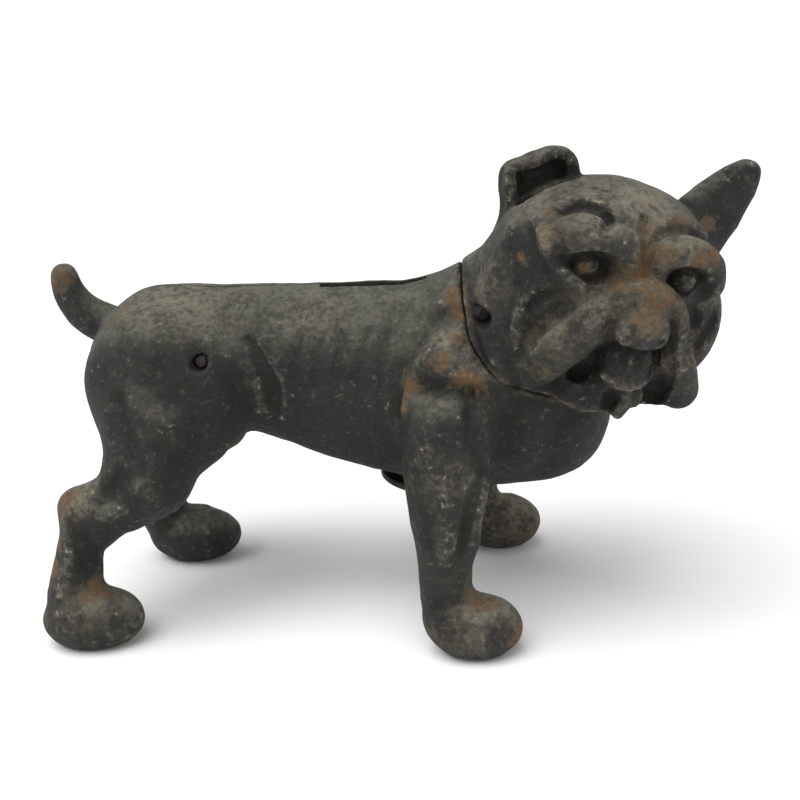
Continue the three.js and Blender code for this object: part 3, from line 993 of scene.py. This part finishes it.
def make_plug(material):
    stem = [(0, -6.95), (9.6, -6.95), (10.7, -6.8), (11.5, -6.1), (11.8, -5.2), (11.7, -3.4),
            (11.2, -2.9), (11.2, -0.4), (11.5, 0.32)]
    flange = [(14.6, 0.32), (15.2, 0.5), (15.45, 1.0), (15.45, 2.3), (15.2, 2.9), (14.5, 3.15)]
    face = [(13.2, 3.15), (12.9, 2.7), (12.2, 2.7), (11.9, 3.15), (8.4, 3.15), (7.8, 2.9),
            (7.2, 1.9), (6.6, 1.65), (3.2, 1.65), (2.9, 2.3), (2.4, 2.6), (0, 2.6)]
    plug = lathe("trap_plug_rubber", stem + flange + face, material)
    bevel_edges(plug, 0.15)
    down = Vector(TRAP_OUT.tolist())
    turn = Vector((0, 0, 1)).rotation_difference(down).to_matrix().to_4x4()
    place_mesh(plug, turn, to_frame(TRAP_AT))
    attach(plug, "stopper")
    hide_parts("trap_plug")


# ------------------------------------------------------------------ materials
class Nodes:
    """Short hand for building a material's nodes."""

    def __init__(self, name):
        self.material = bpy.data.materials.new(name)
        self.material.use_nodes = True
        self.tree = self.material.node_tree
        self.tree.nodes.clear()
        self.shader = self.tree.nodes.new("ShaderNodeBsdfPrincipled")
        output = self.tree.nodes.new("ShaderNodeOutputMaterial")
        self.tree.links.new(self.shader.outputs[0], output.inputs[0])
        self.place = self.tree.nodes.new("ShaderNodeTexCoord").outputs["Object"]

    def put(self, socket, value):
        if isinstance(value, bpy.types.NodeSocket):
            self.tree.links.new(value, socket)
        else:
            socket.default_value = value

    def noise(self, scale, detail, rough, seed, warp=0.0):
        node = self.tree.nodes.new("ShaderNodeTexNoise")
        node.noise_dimensions = "4D"
        self.put(node.inputs["Vector"], self.place)
        for key, value in (("W", seed), ("Scale", scale), ("Detail", detail), ("Roughness", rough),
                           ("Distortion", warp)):
            node.inputs[key].default_value = value
        return node.outputs[0]

    def layer(self, name):
        node = self.tree.nodes.new("ShaderNodeAttribute")
        node.attribute_name = name
        return node.outputs["Fac"]

    def up(self):
        node = self.tree.nodes.new("ShaderNodeNewGeometry")
        split = self.tree.nodes.new("ShaderNodeSeparateXYZ")
        self.tree.links.new(node.outputs["Normal"], split.inputs[0])
        return split.outputs[2]

    def calc(self, kind, a, b, clamp=False):
        node = self.tree.nodes.new("ShaderNodeMath")
        node.operation = kind
        node.use_clamp = clamp
        self.put(node.inputs[0], a)
        self.put(node.inputs[1], b)
        return node.outputs[0]

    def times(self, a, b):
        return self.calc("MULTIPLY", a, b)

    def plus(self, a, b):
        return self.calc("ADD", a, b)

    def ramp(self, value, low, high, out_low=0.0, out_high=1.0):
        node = self.tree.nodes.new("ShaderNodeMapRange")
        node.interpolation_type = "SMOOTHSTEP"
        for key, item in zip(node.inputs, (value, low, high, out_low, out_high)):
            self.put(key, item)
        return node.outputs[0]

    def mix(self, share, a, b):
        node = self.tree.nodes.new("ShaderNodeMix")
        node.data_type = "RGBA"
        self.put(node.inputs[0], share)
        self.put(node.inputs[6], a)
        self.put(node.inputs[7], b)
        return node.outputs[2]

    def bump(self, height, depth, strength, under=None):
        node = self.tree.nodes.new("ShaderNodeBump")
        node.inputs["Strength"].default_value = strength
        node.inputs["Distance"].default_value = depth
        self.put(node.inputs["Height"], height)
        if under:
            self.put(node.inputs["Normal"], under)
        return node.outputs[0]

    def finish(self, colour, roughness, normal, metallic=0.0, specular=0.5):
        self.put(self.shader.inputs["Base Color"], colour)
        self.put(self.shader.inputs["Roughness"], roughness)
        self.put(self.shader.inputs["Normal"], normal)
        self.shader.inputs["Metallic"].default_value = metallic
        self.shader.inputs["Specular IOR Level"].default_value = specular
        return self.material


def rgb(code):
    """Linear colour of an sRGB hex code."""
    parts = [int(code[i:i + 2], 16) / 255 for i in (0, 2, 4)]
    return tuple(p / 12.92 if p < 0.04045 else ((p + 0.055) / 1.055) ** 2.4 for p in parts) + (1.0,)


def iron_colour(n, broad, patch, fine, sand):
    """Waxed charcoal with painted shade in the folds, pale on ridges and tops from wear and dust together
    with painted light.
    """
    fold_shade = n.layer("shelter")
    relief = n.plus(n.layer("relief"), n.ramp(patch, 0.3, 0.7, -0.12, 0.12))
    base = n.mix(n.ramp(broad, 0.36, 0.66), rgb("1a1b18"), rgb("262722"))
    base = n.mix(n.ramp(patch, 0.46, 0.72, 0, 0.5), base, rgb("34352f"))
    base = n.mix(n.ramp(fine, 0.56, 0.72, 0, 0.4), base, rgb("4c4c43"))
    # tops paler: dust that settles there together with painted light from above
    broken = n.ramp(n.plus(patch, fine), 0.8, 1.15, 0.4, 1.05)
    top_dust_and_light = n.times(n.ramp(n.up(), 0.28, 0.92), broken)
    base = n.mix(n.times(top_dust_and_light, 0.7), base, rgb("747367"))
    # ridges paler: wear together with a painted highlight on the crests
    worn_and_highlit = n.times(n.ramp(relief, 0.1, 0.55), n.ramp(fine, 0.4, 0.62, 0.1, 1.1))
    base = n.mix(n.times(worn_and_highlit, 0.6), base, rgb("6a685c"))
    # painted shade in narrow folds
    base = n.mix(n.ramp(n.times(relief, -1.0), 0.15, 0.9, 0, 0.6), base, rgb("161714"))
    # painted shade in folds and hollows, from the shelter layer
    base = n.mix(n.ramp(fold_shade, 0.14, 0.7, 0, 0.9), base, rgb("10110e"))
    # painted shade: near black in crease bottoms and in the shade spots
    shade_mask = n.times(n.layer("painted_shade"), n.ramp(n.plus(patch, fine), 0.85, 1.2, 1.0, 0.5))
    base = n.mix(n.times(shade_mask, 0.95), base, rgb("131411"))
    # pale dust, with painted light on the far front paw
    dust_and_light = n.times(n.layer("dust"), n.ramp(n.plus(patch, fine), 0.82, 1.18, 0.15, 1.05))
    base = n.mix(n.times(dust_and_light, 0.62), base, rgb("8d8472"))
    flecks = n.times(n.ramp(fine, 0.6, 0.7), n.ramp(relief, -0.1, 0.5, 0.05, 1.0))
    base = n.mix(n.times(flecks, 0.7), base, rgb("aca792"))
    specks = n.times(n.ramp(sand, 0.66, 0.74), n.ramp(patch, 0.5, 0.65))
    return n.mix(n.times(specks, 0.6), base, rgb("b0ab98"))


def iron_material():
    n = Nodes("aged_cast_iron")
    broad = n.noise(28, 5, 0.6, 1.0)
    patch = n.noise(110, 6, 0.65, 2.0, 0.6)
    fine = n.noise(520, 4, 0.6, 3.0)
    sand = n.noise(1500, 3, 0.6, 4.0)
    colour = iron_colour(n, broad, patch, fine, sand)
    # tan scale, then orange rust, in broken patches
    torn = n.noise(210, 7, 0.72, 8.0, 0.8)
    stray = n.ramp(n.noise(34, 4, 0.6, 7.0), 0.6, 0.78, 0, 0.35)
    spot = n.plus(n.layer("rust"), stray)
    tan = n.ramp(n.plus(spot, n.times(torn, 3.2)), 1.75, 2.5)
    colour = n.mix(n.times(tan, 0.75), colour, rgb("6c5d47"))
    eaten = n.ramp(n.plus(n.times(spot, 0.9), n.times(torn, 3.4)), 2.15, 2.65)
    eaten = n.times(eaten, n.ramp(spot, 0.1, 0.5))
    rust = n.mix(n.ramp(fine, 0.4, 0.62), rgb("5c4024"), rgb("865a30"))
    colour = n.mix(n.times(eaten, 0.55), colour, rust)
    rough = n.ramp(patch, 0.3, 0.7, 0.6, 0.78)
    rough = n.calc("ADD", rough, n.times(eaten, 0.15), True)
    lumps = n.bump(patch, 0.0012, 0.7)
    pits = n.bump(n.ramp(n.noise(330, 5, 0.7, 5.0), 0.3, 0.75), 0.001, 1.0, lumps)
    grain = n.bump(sand, 0.0006, 0.9, pits)
    scale = n.bump(eaten, 0.0003, 0.7, grain)
    return n.finish(colour, rough, scale, 0.0, 0.35)


def screw_material():
    n = Nodes("rusty_screw_steel")
    grain = n.noise(900, 5, 0.65, 1.0)
    patch = n.noise(300, 4, 0.6, 2.0)
    colour = n.mix(n.ramp(patch, 0.4, 0.62), rgb("201e1a"), rgb("2f2b24"))
    colour = n.mix(n.ramp(grain, 0.55, 0.7, 0, 0.8), colour, rgb("5f4029"))
    return n.finish(colour, n.ramp(grain, 0.3, 0.7, 0.5, 0.75), n.bump(grain, 0.0003, 0.8), 0.35)


def rubber_material():
    n = Nodes("black_rubber")
    grain = n.noise(1600, 3, 0.6, 1.0)
    dust = n.noise(180, 5, 0.6, 2.0)
    colour = n.mix(n.ramp(dust, 0.55, 0.75, 0, 0.5), rgb("0b0b0c"), rgb("2a2a28"))
    return n.finish(colour, n.ramp(dust, 0.4, 0.7, 0.5, 0.72), n.bump(grain, 0.0001, 0.5), 0.0, 0.4)


# ------------------------------------------------------------------ stage
CAMERA_TURN = 10.0
CAMERA_UP = 18.5
CAMERA_ROLL = -4.0
CAMERA_FAR = 0.45
LENS = 56.5


def aim(turn, up):
    a, e = math.radians(turn), math.radians(up)
    return Vector((math.sin(a) * math.cos(e), -math.cos(a) * math.cos(e), math.sin(e)))


def make_camera():
    data = bpy.data.cameras.new("photo_camera")
    data.lens = LENS
    data.sensor_width = 36
    data.clip_start = 0.01
    camera = new_object("photo_camera", data)
    back = aim(CAMERA_TURN, CAMERA_UP)
    right = (-back).cross(Vector((0, 0, 1))).normalized()
    up = right.cross(-back)
    c, s = math.cos(math.radians(CAMERA_ROLL)), math.sin(math.radians(CAMERA_ROLL))
    right, up = right * c + up * s, up * c - right * s
    target = Vector(to_frame((5, 0, 76)).tolist())
    turn = Matrix((right, up, back)).transposed().to_4x4()
    camera.matrix_world = Matrix.Translation(target + back * CAMERA_FAR) @ turn
    bpy.context.scene.camera = camera


def soft_sun(name, towards, strength, spread):
    """Even light over the whole floor, from the given side, softened by its spread."""
    data = bpy.data.lights.new(name, "SUN")
    data.energy = strength
    data.angle = math.radians(spread)
    lamp = new_object(name, data)
    lamp.rotation_mode = "QUATERNION"
    lamp.rotation_quaternion = Vector(towards).to_track_quat("Z", "Y")


FLOOR_RINGS = ((1.2, 0.0), (2.0, 0.12), (15.0, 5.2))
FLOOR_TURNS = 48


def make_floor():
    """Flat where the bank stands, then rising gently all round so that no edge shows."""
    mesh = bpy.data.meshes.new("floor")
    corners = [(0, 0, 0)]
    faces = []
    for k, (radius, height) in enumerate(FLOOR_RINGS):
        for t in range(FLOOR_TURNS):
            angle = 2 * math.pi * t / FLOOR_TURNS
            corners.append((radius * math.cos(angle), radius * math.sin(angle), height))
            here, along = 1 + k * FLOOR_TURNS + t, 1 + k * FLOOR_TURNS + (t + 1) % FLOOR_TURNS
            if k == 0:
                faces.append((0, here, along))
            else:
                faces.append((here - FLOOR_TURNS, here, along, along - FLOOR_TURNS))
    mesh.from_pydata(corners, [], faces)
    n = Nodes("pale_floor")
    n.shader.inputs["Base Color"].default_value = (0.86, 0.86, 0.86, 1)
    n.shader.inputs["Roughness"].default_value = 0.9
    floor = new_object("floor", mesh, n.material)


def make_lights():
    soft_sun("top_sun", (-0.2, -0.3, 1.0), 2.85, 55)
    soft_sun("left_sun", (-1.0, -0.5, 0.8), 0.35, 40)
    soft_sun("right_sun", (1.0, -0.25, 0.6), 0.3, 40)
    world = bpy.data.worlds.new("studio")
    world.use_nodes = True
    background = world.node_tree.nodes["Background"]
    background.inputs["Color"].default_value = (1, 1, 1, 1)
    background.inputs["Strength"].default_value = 0.38
    bpy.context.scene.world = world
    bpy.context.scene.view_settings.view_transform = "Standard"


def make_castings(material):
    right, left, head = sculpt_castings()
    for name, clay, node in (("right_half_casting", right, "right_body_half"),
                             ("left_half_casting", left, "left_body_half"),
                             ("head_casting", head, "head")):
        piece = mesh_piece(name, clay, material)
        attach(piece, "bank")
        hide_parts(node)


make_camera()
make_floor()
make_lights()
make_castings(iron_material())
make_screws(screw_material())
make_plug(rubber_material())
